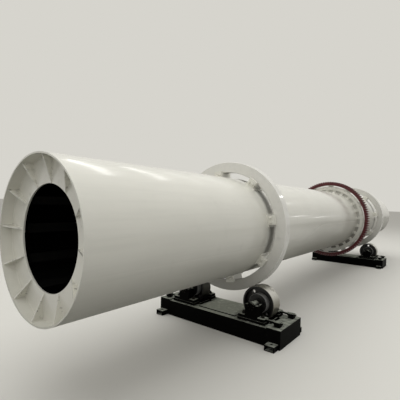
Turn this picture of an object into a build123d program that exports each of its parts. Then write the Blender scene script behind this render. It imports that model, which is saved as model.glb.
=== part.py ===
# Rotary drum dryer: a long welded drum that turns on two tyres, each tyre
# resting on a pair of support rollers that stand on a bolted-down base frame.
# A girth gear on spring legs drives the drum. The row frame has +X along the
# drum from its feed end to its discharge end, +Z up, and its origin on the
# floor under the middle of the drum. All sizes are in millimetres.
import math
import os

from build123d import *

os.makedirs("parts", exist_ok=True)

# Drum shell and its two ends
shell_outer_d = 1200
shell_wall = 12
drum_length = 10800
opening_d = 780
end_plate_thickness = 12
end_plate_recess = 90
end_gusset_count = 12
end_gusset_thickness = 12
end_gusset_setback = 6
end_gusset_phase = 5

# Lifting flights inside the drum
flight_count = 12
flight_depth = 120
flight_lip = 70
flight_thickness = 10
flight_end_clearance = 60

# Tyres and the chair pads that carry them
pad_height = 67
tyre_thickness = 128
tyre_width = 120
tyre_chamfer = 5
tyre_from_end = 2400
pad_count = 8
pad_phase = 35
pad_arc = 9
pad_foot_arc = 14
pad_foot_thickness = 14
pad_side_reach = 45
pad_stop_height = 22
pad_stop_clearance = 2

# Girth gear: heights are above the shell, and the rim and module set the tooth count
gear_from_feed_end = 6520
gear_module = 16
gear_pressure_angle = 20
gear_backlash = 0.6
gear_width = 130
gear_rim_height = 154
gear_rim_thickness = 42
gear_web_height = 92
gear_web_thickness = 30

# Mounting ring and spring legs between the girth gear and the shell
mount_ring_height = 72
mount_ring_depth = 66
mount_ring_thickness = 16
leg_count = 24
leg_phase = 10
leg_width = 62
leg_thickness = 14
leg_foot_length = 120
leg_foot_thickness = 12
leg_fit_gap = 1
leg_rib_thickness = 10
leg_rib_gap = 8

# Support rollers
roller_d = 400
roller_width = 160
roller_chamfer = 4
roller_rim_thickness = 20
roller_web_recess = 60
roller_hub_d = 224
roller_hub_reach = 10
roller_boss_d = 130
roller_boss_reach = 26
roller_hole_d = 46
roller_hole_count = 2
roller_hole_phases = {"front": 50, "rear": 86}
roller_shaft_d = 64
support_angle = 30
rolling_gap = 0.3

# Bearings of the support rollers
bearing_from_roller = 185
bearing_width = 106
bearing_body_length = 156
bearing_centre_height = 144
bearing_base_length = 330
bearing_base_thickness = 34
bearing_shoulder_height = 17
bearing_arch_d = 98
bearing_cover_d = 84
bearing_cover_thickness = 8
shaft_running_clearance = 0.05
shaft_end_clearance = 8

# Base frames: two welded box beams, their end plates and what ties them
frame_width = 560
beam_height = 194
beam_width = 150
beam_wall = 8
frame_end_thickness = 12
cross_member_thickness = 10
cross_member_from_roller = 155
seat_thickness = 32
seat_width = 118
seat_margin = 6
top_plate_thickness = 12
top_plate_length = 165
top_plate_gap = 41
deck_gap = 60

# Anchor chairs at the frame's four corners
foot_length = 112
foot_reach = 98
foot_height = 60
foot_top_thickness = 16
foot_base_thickness = 10
foot_gusset_thickness = 10
foot_from_frame_end = 78
anchor_hole_d = 30
anchor_from_beam = 45

# Adjusting screws that set the bearings
adjuster_from_base = 137
adjuster_block_length = 64
adjuster_block_width = 64
adjuster_block_above = 12
adjuster_above_seat = 22
adjuster_screw_d = 24
adjuster_head_across = 36
adjuster_head_length = 28
adjuster_nut_length = 18
adjuster_screw_tail = 22

# Places worked out from the sizes above
shell_r = shell_outer_d / 2
shell_inner_r = shell_r - shell_wall
opening_r = opening_d / 2
tyre_inner_r = shell_r + pad_height
tyre_r = tyre_inner_r + tyre_thickness
roller_r = roller_d / 2
shaft_r = roller_shaft_d / 2
seat_top = beam_height + seat_thickness
roller_height = seat_top + bearing_centre_height
roller_to_drum = tyre_r + roller_r + rolling_gap
roller_offset = roller_to_drum * math.sin(math.radians(support_angle))
axis_height = roller_height + roller_to_drum * math.cos(math.radians(support_angle))
base_outer_end = roller_offset + bearing_base_length / 2
seat_inner_end = roller_offset - bearing_base_length / 2 - seat_margin
seat_outer_end = base_outer_end + seat_margin
frame_length = 2 * (seat_outer_end + top_plate_gap + top_plate_length)
beam_from_middle = (frame_width - beam_width) / 2
feed_rim_x = -drum_length / 2
gear_x = feed_rim_x + gear_from_feed_end
stations = {
    "front": feed_rim_x + tyre_from_end,
    "rear": -feed_rim_x - tyre_from_end,
}


def across_drum(x):
    """Plane square to the drum, centred on its axis: local x is +Y, local y is +Z."""
    return Plane(origin=(x, 0, axis_height), x_dir=(0, 1, 0), z_dir=(1, 0, 0))


def across_roller(x, side):
    """The same plane, centred on the axis of the roller on one side (+1 left, -1 right)."""
    return Plane(origin=(x, side * roller_offset, roller_height), x_dir=(0, 1, 0), z_dir=(1, 0, 0))


def save(piece, name):
    """Label a finished piece and write its file."""
    piece.part.label = name
    export_step(piece.part, f"parts/{name}.step")


# Drum shell: one rolled and welded tube
with BuildPart() as drum_shell:
    with BuildSketch(across_drum(feed_rim_x)):
        Circle(shell_r)
        Circle(shell_inner_r, mode=Mode.SUBTRACT)
    extrude(amount=drum_length)
save(drum_shell, "drum_shell")


# End plates: a ring set back inside each rim, with a round opening
def end_plate(outer_face_x, inward):
    with BuildPart() as plate:
        with BuildSketch(across_drum(outer_face_x)):
            Circle(shell_inner_r)
            Circle(opening_r, mode=Mode.SUBTRACT)
        extrude(amount=inward * end_plate_thickness)
    return plate


# End gussets: right triangles from the rim down to the edge of the opening
def end_gussets(outer_face_x, inward):
    rim_x = outer_face_x - inward * (end_plate_recess - end_gusset_setback)
    with BuildPart() as gussets:
        for index in range(end_gusset_count):
            turn = end_gusset_phase + index * 360 / end_gusset_count
            with BuildSketch(Plane.XZ.offset(-end_gusset_thickness / 2)):
                with BuildLine():
                    Polyline(
                        (outer_face_x, opening_r),
                        (outer_face_x, shell_r),
                        (rim_x, shell_r),
                        close=True,
                    )
                make_face()
            raised = extrude(amount=end_gusset_thickness, mode=Mode.PRIVATE)
            upright = raised.rotate(Axis.X, turn - 90)
            add(upright.moved(Location((0, 0, axis_height))))
        with BuildSketch(across_drum(rim_x)):
            Circle(shell_r + shell_wall)
            Circle(shell_inner_r, mode=Mode.SUBTRACT)
        extrude(amount=inward * end_plate_recess, mode=Mode.SUBTRACT)
    return gussets


for end_name, inward in (("feed", 1), ("discharge", -1)):
    face_x = inward * (feed_rim_x + end_plate_recess)
    save(end_plate(face_x, inward), f"{end_name}_end_plate")
    save(end_gussets(face_x, inward), f"{end_name}_end_gussets")


# Lifting flights: bent strips that run along the inside of the shell
flight_length = drum_length - 2 * (end_plate_recess + end_plate_thickness + flight_end_clearance)
with BuildPart() as lifting_flights:
    with BuildSketch(across_drum(-flight_length / 2)):
        with PolarLocations(0, flight_count):
            with Locations((shell_inner_r - flight_depth / 2, 0)):
                Rectangle(flight_depth + 2, flight_thickness)
            lip_r = shell_inner_r - flight_depth + flight_thickness / 2
            with Locations((lip_r, flight_lip / 2)):
                Rectangle(flight_thickness, flight_lip)
        Circle(shell_inner_r, mode=Mode.INTERSECT)
    extrude(amount=flight_length)
save(lifting_flights, "lifting_flights")


# Tyres: forged rings with a chamfer on every edge
def tyre(centre_x):
    with BuildPart() as ring:
        with BuildSketch(across_drum(centre_x)):
            Circle(tyre_r)
            Circle(tyre_inner_r, mode=Mode.SUBTRACT)
        extrude(amount=tyre_width / 2, both=True)
        chamfer(ring.edges().filter_by(GeomType.CIRCLE), tyre_chamfer)
    return ring


def ring_sector(inner_r, outer_r, arc):
    """Sketch a short piece of a ring, centred on local x."""
    half = math.radians(arc / 2)
    inner_start = (inner_r * math.cos(half), -inner_r * math.sin(half))
    inner_end = (inner_r * math.cos(half), inner_r * math.sin(half))
    outer_start = (outer_r * math.cos(half), -outer_r * math.sin(half))
    outer_end = (outer_r * math.cos(half), outer_r * math.sin(half))
    with BuildSketch(mode=Mode.PRIVATE) as sector:
        with BuildLine():
            Line(inner_start, outer_start)
            ThreePointArc(outer_start, (outer_r, 0), outer_end)
            Line(outer_end, inner_end)
            ThreePointArc(inner_end, (inner_r, 0), inner_start)
        make_face()
    return sector.sketch


# Tyre pads: chairs welded to the shell, with stops on both sides of the tyre
def tyre_pads(centre_x):
    half_length = tyre_width / 2 + pad_side_reach
    stop_from = tyre_width / 2 + pad_stop_clearance
    foot = ring_sector(shell_r, shell_r + pad_foot_thickness, pad_foot_arc)
    chair = ring_sector(shell_r, tyre_inner_r, pad_arc)
    stop = ring_sector(shell_r, tyre_inner_r + pad_stop_height, pad_arc)
    with BuildPart() as pads:
        with BuildSketch(across_drum(centre_x)):
            with PolarLocations(0, pad_count, start_angle=pad_phase):
                add(foot)
        extrude(amount=half_length, both=True)
        with BuildSketch(across_drum(centre_x)):
            with PolarLocations(0, pad_count, start_angle=pad_phase):
                add(chair)
        extrude(amount=half_length, both=True)
        for side in (-1, 1):
            with BuildSketch(across_drum(centre_x + side * stop_from)):
                with PolarLocations(0, pad_count, start_angle=pad_phase):
                    add(stop)
            extrude(amount=side * (half_length - stop_from))
    return pads


for station, station_x in stations.items():
    save(tyre(station_x), f"{station}_tyre")
    save(tyre_pads(station_x), f"{station}_tyre_pads")

# Girth gear: the rim's thickness under the teeth sets the smallest tooth count
gear_rim_inner_r = shell_r + gear_rim_height
gear_dedendum = 1.25 * gear_module
gear_teeth = math.ceil(2 * (gear_rim_inner_r + gear_rim_thickness + gear_dedendum) / gear_module)
gear_pitch_r = gear_module * gear_teeth / 2
gear_outer_r = gear_pitch_r + gear_module
gear_root_r = gear_pitch_r - gear_dedendum


def involute(angle):
    return math.tan(angle) - angle


def tooth_half_angle(radius):
    """Half the angle that one tooth takes at a radius, for an involute flank."""
    pressure = math.radians(gear_pressure_angle)
    at_radius = math.acos(gear_pitch_r * math.cos(pressure) / radius)
    tooth_thickness = math.pi * gear_module / 2 - gear_backlash
    at_pitch = tooth_thickness / (2 * gear_pitch_r)
    return at_pitch + involute(pressure) - involute(at_radius)


def on_gear(radius, angle):
    return (radius * math.cos(angle), radius * math.sin(angle))


def tooth_outline(centre):
    """Draw one tooth and the root after it; each flank is an arc near the involute."""
    flank_radii = (gear_root_r, (gear_root_r + gear_outer_r) / 2, gear_outer_r)
    half_angles = [tooth_half_angle(radius) for radius in flank_radii]
    rising = [on_gear(r, centre - half) for r, half in zip(flank_radii, half_angles)]
    falling = [on_gear(r, centre + half) for r, half in zip(flank_radii, half_angles)]
    next_root = on_gear(gear_root_r, centre + 2 * math.pi / gear_teeth - half_angles[0])
    ThreePointArc(*rising)
    Line(rising[2], falling[2])
    ThreePointArc(*reversed(falling))
    Line(falling[0], next_root)


with BuildPart() as girth_gear_rim:
    with BuildSketch(across_drum(gear_x)):
        with BuildLine():
            for tooth in range(gear_teeth):
                tooth_outline(tooth * 2 * math.pi / gear_teeth)
        make_face()
        Circle(gear_rim_inner_r, mode=Mode.SUBTRACT)
    extrude(amount=gear_width / 2, both=True)
save(girth_gear_rim, "girth_gear_rim")

# Gear web: one ring inside the rim, in the middle of its width
gear_web_inner_r = shell_r + gear_web_height
with BuildPart() as girth_gear_web:
    with BuildSketch(across_drum(gear_x)):
        Circle(gear_rim_inner_r)
        Circle(gear_web_inner_r, mode=Mode.SUBTRACT)
    extrude(amount=gear_web_thickness / 2, both=True)
save(girth_gear_web, "girth_gear_web")

# Mounting ring: bolted to the feed side of the web
mount_ring_back_x = gear_x - gear_web_thickness / 2
mount_ring_inner_r = shell_r + mount_ring_height
with BuildPart() as gear_mount_ring:
    with BuildSketch(across_drum(mount_ring_back_x)):
        Circle(mount_ring_inner_r + mount_ring_depth)
        Circle(mount_ring_inner_r, mode=Mode.SUBTRACT)
    extrude(amount=-mount_ring_thickness)
save(gear_mount_ring, "gear_mount_ring")

# Spring legs: a foot on the shell, an upright behind the mounting ring, a rib
leg_foot_r = shell_r + leg_foot_thickness
leg_tip_r = gear_web_inner_r - leg_fit_gap
leg_foot_arc = math.degrees(leg_width / shell_r)
leg_foot = ring_sector(shell_r, leg_foot_r, leg_foot_arc)
leg_back_x = mount_ring_back_x + leg_thickness
leg_root_r = (shell_r + leg_foot_r) / 2
with BuildPart() as gear_spring_legs:
    with BuildSketch(across_drum(mount_ring_back_x)):
        with PolarLocations(0, leg_count, start_angle=leg_phase):
            add(leg_foot)
    extrude(amount=leg_foot_length / 2, both=True)
    with BuildSketch(across_drum(mount_ring_back_x)):
        with PolarLocations(0, leg_count, start_angle=leg_phase):
            with Locations(((leg_root_r + leg_tip_r) / 2, 0)):
                Rectangle(leg_tip_r - leg_root_r, leg_width)
    extrude(amount=leg_thickness)
    with BuildSketch(Plane.XZ.offset(-leg_rib_thickness / 2)):
        Polygon(
            (leg_back_x, leg_root_r),
            (leg_back_x, leg_tip_r - leg_rib_gap),
            (mount_ring_back_x + leg_foot_length / 2 - leg_rib_gap, leg_root_r),
            align=None,
        )
    rib = extrude(amount=leg_rib_thickness, mode=Mode.PRIVATE)
    for index in range(leg_count):
        turned = rib.rotate(Axis.X, leg_phase + index * 360 / leg_count - 90)
        add(turned.moved(Location((0, 0, axis_height))))
save(gear_spring_legs, "gear_spring_legs")


# Support rollers: cast wheel with a recessed web, lifting holes and a bossed hub
def support_roller(centre_x, side, hole_phase):
    half_width = roller_width / 2
    web_half = half_width - roller_web_recess
    rim_inner_r = roller_r - roller_rim_thickness
    hub_r = roller_hub_d / 2
    boss_half = half_width + roller_boss_reach
    with BuildPart() as roller:
        with BuildSketch(across_roller(centre_x, side)):
            Circle(roller_r)
        extrude(amount=half_width, both=True)
        chamfer(roller.edges().filter_by(GeomType.CIRCLE), roller_chamfer)
        for face_side in (-1, 1):
            with BuildSketch(across_roller(centre_x + face_side * web_half, side)):
                Circle(rim_inner_r)
                Circle(hub_r, mode=Mode.SUBTRACT)
            extrude(amount=face_side * roller_web_recess, mode=Mode.SUBTRACT)
        with BuildSketch(across_roller(centre_x, side)):
            Circle(hub_r)
        extrude(amount=half_width + roller_hub_reach, both=True)
        with BuildSketch(across_roller(centre_x, side)):
            Circle(roller_boss_d / 2)
        extrude(amount=boss_half, both=True)
        with BuildSketch(across_roller(centre_x, side)):
            with PolarLocations((rim_inner_r + hub_r) / 2, roller_hole_count, hole_phase):
                Circle(roller_hole_d / 2)
            Circle(shaft_r)
        extrude(amount=boss_half, both=True, mode=Mode.SUBTRACT)
    return roller


def roller_shaft(centre_x, side):
    half_length = bearing_from_roller + bearing_width / 2 - shaft_end_clearance
    with BuildPart() as shaft:
        with BuildSketch(across_roller(centre_x, side)):
            Circle(shaft_r)
        extrude(amount=half_length, both=True)
        chamfer(shaft.edges().filter_by(GeomType.CIRCLE), roller_chamfer / 2)
    return shaft


for station, station_x in stations.items():
    for side_name, side in (("left", 1), ("right", -1)):
        roller = support_roller(station_x, side, roller_hole_phases[station])
        save(roller, f"{station}_{side_name}_roller")
        save(roller_shaft(station_x, side), f"{station}_{side_name}_roller_shaft")


# Bearing housings: split at the shaft, standing on machined seats
def bearing_places(centre_x):
    """The four bearings of a station, as pairs of x and side."""
    return [
        (centre_x + along * bearing_from_roller, side)
        for along in (-1, 1)
        for side in (-1, 1)
    ]


def bearing_bases(centre_x):
    with BuildPart() as bases:
        for x, side in bearing_places(centre_x):
            with BuildSketch(across_roller(x, side)):
                with Locations((0, bearing_base_thickness / 2 - bearing_centre_height)):
                    Rectangle(bearing_base_length, bearing_base_thickness)
                with Locations((0, -bearing_centre_height / 2)):
                    Rectangle(bearing_body_length, bearing_centre_height)
                Circle(shaft_r + shaft_running_clearance, mode=Mode.SUBTRACT)
            extrude(amount=bearing_width / 2, both=True)
    return bases


def bearing_caps(centre_x):
    with BuildPart() as caps:
        for x, side in bearing_places(centre_x):
            with BuildSketch(across_roller(x, side)):
                Circle(bearing_arch_d / 2)
                with Locations((0, -bearing_arch_d / 2)):
                    Rectangle(bearing_arch_d, bearing_arch_d, mode=Mode.SUBTRACT)
                with Locations((0, bearing_shoulder_height / 2)):
                    Rectangle(bearing_body_length, bearing_shoulder_height)
                Circle(shaft_r + shaft_running_clearance, mode=Mode.SUBTRACT)
            extrude(amount=bearing_width / 2, both=True)
    return caps


def bearing_covers(centre_x):
    """Closed covers on the outer faces of the four housings."""
    with BuildPart() as covers:
        for x, side in bearing_places(centre_x):
            outward = 1 if x > centre_x else -1
            with BuildSketch(across_roller(x + outward * bearing_width / 2, side)):
                Circle(bearing_cover_d / 2)
            extrude(amount=outward * bearing_cover_thickness)
    return covers


# Base frame: two box beams along the frame, tied by plates
def frame_beams(centre_x):
    beam_length = frame_length - 2 * frame_end_thickness
    with BuildPart() as beams:
        with BuildSketch(Plane.XZ.offset(-beam_length / 2)):
            with Locations(
                (centre_x - beam_from_middle, beam_height / 2),
                (centre_x + beam_from_middle, beam_height / 2),
            ):
                Rectangle(beam_width, beam_height)
                Rectangle(
                    beam_width - 2 * beam_wall, beam_height - 2 * beam_wall, mode=Mode.SUBTRACT
                )
        extrude(amount=beam_length)
    return beams


def cross_members(centre_x):
    """Plates between the two beams, under the deck and beside each roller."""
    between_beams = frame_width - 2 * beam_width
    member_places = [(centre_x, 0, beam_height / 2)]
    for side in (-1, 1):
        for step in (-cross_member_from_roller, cross_member_from_roller):
            member_places.append((centre_x, side * (roller_offset + step), beam_height / 2))
    with BuildPart() as members:
        with Locations(member_places):
            Box(between_beams, cross_member_thickness, beam_height)
    return members


def frame_end_plates(centre_x):
    place_y = (frame_length - frame_end_thickness) / 2
    with BuildPart() as plates:
        with Locations([(centre_x, side * place_y, beam_height / 2) for side in (-1, 1)]):
            Box(frame_width, frame_end_thickness, beam_height)
    return plates


def frame_top_plates(centre_x):
    """A plate over each end of the frame, and a deck between the two rollers."""
    place_y = frame_length / 2 - top_plate_length / 2
    place_z = beam_height + top_plate_thickness / 2
    deck_length = 2 * (seat_inner_end - deck_gap)
    with BuildPart() as plates:
        with Locations([(centre_x, side * place_y, place_z) for side in (-1, 1)]):
            Box(frame_width, top_plate_length, top_plate_thickness)
        with Locations((centre_x, 0, place_z)):
            Box(2 * beam_from_middle, deck_length, top_plate_thickness)
    return plates


def bearing_seats(centre_x):
    place_y = (seat_inner_end + seat_outer_end) / 2
    place_z = beam_height + seat_thickness / 2
    with BuildPart() as seats:
        for x, side in bearing_places(centre_x):
            with Locations((x, side * place_y, place_z)):
                Box(seat_width, seat_outer_end - seat_inner_end, seat_thickness)
    return seats


def foot_plates(centre_x):
    """Anchor chairs: base and top plate on two gussets, bored for one anchor bolt."""
    chair_y = frame_length / 2 - foot_from_frame_end
    gusset_from_middle = (foot_length - foot_gusset_thickness) / 2
    plate_places = []
    gusset_places = []
    hole_places = []
    for along in (-1, 1):
        chair_x = centre_x + along * (frame_width + foot_reach) / 2
        hole_x = centre_x + along * (frame_width / 2 + anchor_from_beam)
        for side in (-1, 1):
            plate_places.append((chair_x, side * chair_y))
            gusset_places.append((chair_x, side * chair_y - gusset_from_middle))
            gusset_places.append((chair_x, side * chair_y + gusset_from_middle))
            hole_places.append((hole_x, side * chair_y))
    with BuildPart() as chairs:
        with BuildSketch():
            with Locations(gusset_places):
                Rectangle(foot_reach, foot_gusset_thickness)
        extrude(amount=foot_height)
        with BuildSketch(Plane.XY.offset(foot_height - foot_top_thickness)):
            with Locations(plate_places):
                Rectangle(foot_reach, foot_length)
        extrude(amount=foot_top_thickness)
        with BuildSketch():
            with Locations(plate_places):
                Rectangle(foot_reach, foot_length)
        extrude(amount=foot_base_thickness)
        with BuildSketch():
            with Locations(hole_places):
                Circle(anchor_hole_d / 2)
        extrude(amount=foot_height, mode=Mode.SUBTRACT)
    return chairs


# Adjusters: a threaded block on the top plate and a screw against the bearing base
def adjusters(centre_x):
    plate_top = beam_height + top_plate_thickness
    screw_z = seat_top + adjuster_above_seat
    block_height = screw_z - plate_top + adjuster_block_above
    block_y = base_outer_end + adjuster_from_base
    block_inner_face = block_y - adjuster_block_length / 2
    screw_end = block_y + adjuster_block_length / 2 + adjuster_screw_tail
    hexagons = ((base_outer_end, adjuster_head_length),
                (block_inner_face - adjuster_nut_length, adjuster_nut_length))
    with BuildPart() as blocks:
        for x, side in bearing_places(centre_x):
            with Locations((x, side * block_y, plate_top + block_height / 2)):
                Box(adjuster_block_width, adjuster_block_length, block_height)
            with BuildSketch(Plane(origin=(x, side * base_outer_end, screw_z), z_dir=(0, side, 0))):
                Circle(adjuster_screw_d / 2)
            extrude(amount=screw_end - base_outer_end)
            for hexagon_y, length in hexagons:
                with BuildSketch(Plane(origin=(x, side * hexagon_y, screw_z), z_dir=(0, side, 0))):
                    RegularPolygon(adjuster_head_across / 2, 6, major_radius=False)
                extrude(amount=length)
    return blocks


for station, station_x in stations.items():
    save(frame_beams(station_x), f"{station}_frame_beams")
    save(cross_members(station_x), f"{station}_cross_members")
    save(frame_end_plates(station_x), f"{station}_frame_end_plates")
    save(frame_top_plates(station_x), f"{station}_frame_top_plates")
    save(foot_plates(station_x), f"{station}_foot_plates")
    save(bearing_seats(station_x), f"{station}_bearing_seats")
    save(bearing_bases(station_x), f"{station}_bearing_bases")
    save(bearing_caps(station_x), f"{station}_bearing_caps")
    save(bearing_covers(station_x), f"{station}_bearing_covers")
    save(adjusters(station_x), f"{station}_adjusters")

print(f"drum axis height {axis_height:.3f}, roller axis height {roller_height:.3f}")
print(f"roller offset {roller_offset:.3f}, girth gear outside radius {gear_outer_r:.1f}")
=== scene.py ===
import math

import bmesh
import bpy
from mathutils import Euler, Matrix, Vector


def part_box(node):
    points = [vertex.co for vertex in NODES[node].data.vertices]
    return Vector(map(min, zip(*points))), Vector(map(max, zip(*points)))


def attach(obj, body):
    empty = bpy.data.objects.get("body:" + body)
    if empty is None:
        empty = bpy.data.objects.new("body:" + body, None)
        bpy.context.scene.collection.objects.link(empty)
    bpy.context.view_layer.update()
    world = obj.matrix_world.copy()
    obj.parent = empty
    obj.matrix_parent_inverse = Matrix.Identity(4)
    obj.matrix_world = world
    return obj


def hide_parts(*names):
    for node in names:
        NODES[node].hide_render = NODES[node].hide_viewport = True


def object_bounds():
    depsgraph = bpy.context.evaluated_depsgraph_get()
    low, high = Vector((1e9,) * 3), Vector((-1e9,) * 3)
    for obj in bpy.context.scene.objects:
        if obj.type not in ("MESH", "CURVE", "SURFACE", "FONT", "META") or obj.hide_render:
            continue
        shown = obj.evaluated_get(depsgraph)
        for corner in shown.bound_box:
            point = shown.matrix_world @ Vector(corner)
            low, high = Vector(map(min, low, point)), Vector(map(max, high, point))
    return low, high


bl_info = {
    "name": "Rotary drum dryer",
    "version": (1, 0, 0),
    "blender": (4, 5, 0),
    "location": "3D View > Sidebar > Dryer",
    "description": "Adds the bolts, welds, paints and stage of a rotary drum dryer",
    "category": "Object",
}

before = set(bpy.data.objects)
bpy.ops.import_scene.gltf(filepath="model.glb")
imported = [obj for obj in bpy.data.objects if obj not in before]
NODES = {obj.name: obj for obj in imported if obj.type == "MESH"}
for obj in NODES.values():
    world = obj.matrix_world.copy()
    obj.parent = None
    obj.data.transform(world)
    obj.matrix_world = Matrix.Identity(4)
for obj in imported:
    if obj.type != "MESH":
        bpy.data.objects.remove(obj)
CAD_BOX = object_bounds()
STATIONS = ("front", "rear")
SIDES = ("left", "right")


def middle(node):
    low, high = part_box(node)
    return (low + high) / 2


def extent(node):
    low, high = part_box(node)
    return high - low


AXIS_HEIGHT = middle("drum_shell").z


def bore(node):
    """The inner radius of a ring on the drum."""
    return min(math.hypot(v.co.y, v.co.z - AXIS_HEIGHT) for v in NODES[node].data.vertices)


SHELL_RADIUS = extent("drum_shell").y / 2
SHELL_BOTTOM = AXIS_HEIGHT - SHELL_RADIUS
SHELL_TOP = AXIS_HEIGHT + SHELL_RADIUS
ROLLER_RADIUS = extent("front_left_roller").z / 2
ROLLER_Y = middle("front_left_roller").y
ROLLER_Z = middle("front_left_roller").z
TYRE_FROM_MIDDLE = middle("rear_tyre").x
TYRE_BORE = bore("rear_tyre")

# sizes and counts of the CAD that no node's box gives, in metres
SHELL_WALL = 0.012
OPENING_RADIUS = 0.39
GUSSETS, HALF_GUSSET, GUSSET_DEPTH = 12, 0.006, 0.08
TYRE_PADS, HALF_PAD_TURN = 8, math.radians(7)
SPRING_LEGS, HALF_LEG = 24, 0.031
LEG_FOOT_HEIGHT, LEG_RIB_HEIGHT = 0.0125, 0.0835
HUB_RADIUS = 0.112
FOOT_THICKNESS = 0.034
CAP_FLANGE_ABOVE_SHAFT = 0.017
TOP_PLATE_LENGTH = 0.165
SEAT_FROM_ROLLER = 0.171
HALF_SEAT_SPACING = 0.246

# the carriers of what this script adds: a body, and a material slot that nothing here reads
ON_DRUM = ("drum", "shell_paint")
ON_FRAME = ("root", "frame_black_paint")

# finishes that more than one operator needs
ENDS_FINISH = "White_alkyd_enamel_on_ends"
PADS_FINISH = "White_alkyd_enamel_on_pads"
GEAR_FINISH = "White_alkyd_enamel_on_gear"
LEGS_FINISH = "Grey_primer_on_spring_legs"
GUARD_FINISH = "Grey_primer_and_painted_shade_on_sheet_guard"
FRAME_FINISH = "Black_enamel_on_rolled_sections"
BOLT_FINISH = "Blackened_steel_bolts"


def linear(code):
    """Turn an sRGB hex colour into the linear values that Blender works in."""
    channels = [int(code[i:i + 2], 16) / 255 for i in (0, 2, 4)]
    return [c / 12.92 if c <= 0.04045 else ((c + 0.055) / 1.055) ** 2.4 for c in channels]


def rgba(colour, shade=1.0):
    return (*[c * shade for c in colour], 1.0)


# ---- settings ----
def colour_property(name, description, code):
    return bpy.props.FloatVectorProperty(
        name=name, description=description, subtype="COLOR", size=3, min=0, max=1,
        default=linear(code))


def length_property(name, description, default):
    return bpy.props.FloatProperty(
        name=name, description=description, default=default, min=0, subtype="DISTANCE",
        unit="LENGTH", precision=4)


def angle_property(name, description, degrees):
    return bpy.props.FloatProperty(
        name=name, description=description, subtype="ANGLE", default=math.radians(degrees))


def count_property(name, description, default, least):
    return bpy.props.IntProperty(name=name, description=description, default=default, min=least)


class DryerColours(bpy.types.PropertyGroup):
    shell_white: colour_property("Shell white", "Enamel on the shell and its ends", "E8E6DB")
    tyre_white: colour_property("Tyre white", "Enamel on the two tyres", "E7E5DD")
    # the grime colour is dirt in patches, and also painted shade under the shell, under the tyres,
    # towards the discharge end and low on the gear's guard
    grime_and_shade: colour_property("Grime", "Workshop dirt in the corners of the white pieces", "625E52")
    # mill scale black, deepened as painted shade of the drum's inside
    scale_black_and_tube_shade: colour_property("Mill scale", "Hot rolled plate inside the drum", "060605")
    scale_rust: colour_property("Rust", "Thin rust on the hot rolled plate", "1C110A")
    gear_red: colour_property("Gear red", "Primer on the girth gear's rim", "560C13")
    ring_grey: colour_property("Ring grey", "Primer on the gear's mounting ring and legs", "E0DED4")
    frame_black: colour_property("Frame black", "Enamel on frames and bearings", "070706")
    dust: colour_property("Dust", "Dust that lies on the frames", "A3A69A")
    turned_steel: colour_property("Turned steel", "Machined tread of the rollers", "E0DFDA")
    tread_stain: colour_property("Tread stain", "Dirt pressed into the rollers' treads", "6B675B")
    # painted shade on the side of the treads under the drum
    painted_tread_shade: colour_property("Painted tread shade", "Oil on the inner side of the treads", "1C1B17")
    shaft_steel: colour_property("Shaft steel", "Turned shafts of the rollers", "8F8D88")
    bolt_steel: colour_property("Bolt steel", "Blackened bolts of the bearings", "2B2A27")
    floor: colour_property("Floor", "Pale studio floor and backdrop", "D6D4CD")


class DryerBoltSizes(bpy.types.PropertyGroup):
    foot_across: length_property("Foot nut", "Across the flats of a bearing's foot nuts", 0.036)
    cap_across: length_property("Cap bolt", "Across the flats of a bearing's cap bolts", 0.021)
    cover_across: length_property("Cover screw", "Across the flats of a cover's screws", 0.010)
    ring_across: length_property(
        "Ring bolt", "Across the flats of the mounting ring's bolts", 0.024)
    foot_from_shaft: length_property("Foot nut place", "From the shaft to a foot nut", 0.122)
    cap_from_shaft: length_property("Cap bolt place", "From the shaft to a cap bolt", 0.062)
    cover_circle: length_property("Cover circle", "Radius of a cover's screw circle", 0.034)
    pad_across: length_property("Pad bolt", "Across the flats of the bolts in a tyre pad", 0.024)
    pad_circle: length_property("Pad bolt circle", "Radius of the bolts in the tyre pads", 0.642)
    pad_spread: angle_property("Pad bolt turn", "Angle from a pad's middle to its bolts", 2.3)
    ring_circle: length_property("Ring circle", "Radius of the mounting ring's bolts", 0.706)
    bearing_spacing: length_property("Bearing place", "From a roller to its bearings", 0.185)
    ring_count: count_property("Ring bolts", "Bolts around the mounting ring", 48, 3)
    cover_count: count_property("Cover screws", "Screws in each bearing cover", 6, 3)


class DryerGearSizes(bpy.types.PropertyGroup):
    ring_inner: length_property("Ring inside", "Inner radius of the mounting ring", 0.655)
    ring_outer: length_property("Ring outside", "Outer radius of the mounting ring", 0.722)
    slot_inner: length_property("Slot inside", "Inner radius of the web's slots", 0.726)
    slot_outer: length_property("Slot outside", "Outer radius of the web's slots", 0.750)
    slot_count: count_property("Slots", "Slots around the gear's web", 12, 1)
    slot_arc: angle_property("Slot arc", "Angle that one slot takes", 22)
    slot_phase: angle_property("Slot turn", "Angle of the first slot's middle", 17)
    guard_radius: length_property("Guard", "Outer radius of the sheet guard", 0.690)
    guard_sheet: length_property("Guard sheet", "Thickness of the sheet guard", 0.003)
    guard_depth: length_property(
        "Guard place", "From the web's feed side back to the sheet guard", 0.0145)


class DryerWeldSizes(bpy.types.PropertyGroup):
    drum_bead: length_property("Drum bead", "Radius of the beads on the drum", 0.0045)
    frame_bead: length_property("Frame bead", "Radius of the beads on the frames", 0.004)
    ripple_pitch: length_property("Ripple", "Length of one ripple, drawn coarse to show", 0.018)
    gusset_phase: angle_property("Gusset turn", "Angle of the first end gusset", 5)
    pad_phase: angle_property("Pad turn", "Angle of the first tyre pad", 35)
    leg_phase: angle_property("Leg turn", "Angle of the first spring leg", 10)


# ---- nodes ----
MATHS = "ShaderNodeMath"
RANGE = "ShaderNodeMapRange"
SMOOTH = "SMOOTHSTEP"


def join(tree, node, inputs):
    """Set a node's inputs to values, or join them to sockets or to other nodes' results."""
    for socket, value in inputs.items():
        if isinstance(value, bpy.types.Node):
            value = next(output for output in value.outputs if output.enabled)
        if isinstance(value, bpy.types.NodeSocket):
            tree.links.new(value, node.inputs[socket])
        else:
            node.inputs[socket].default_value = value


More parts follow.
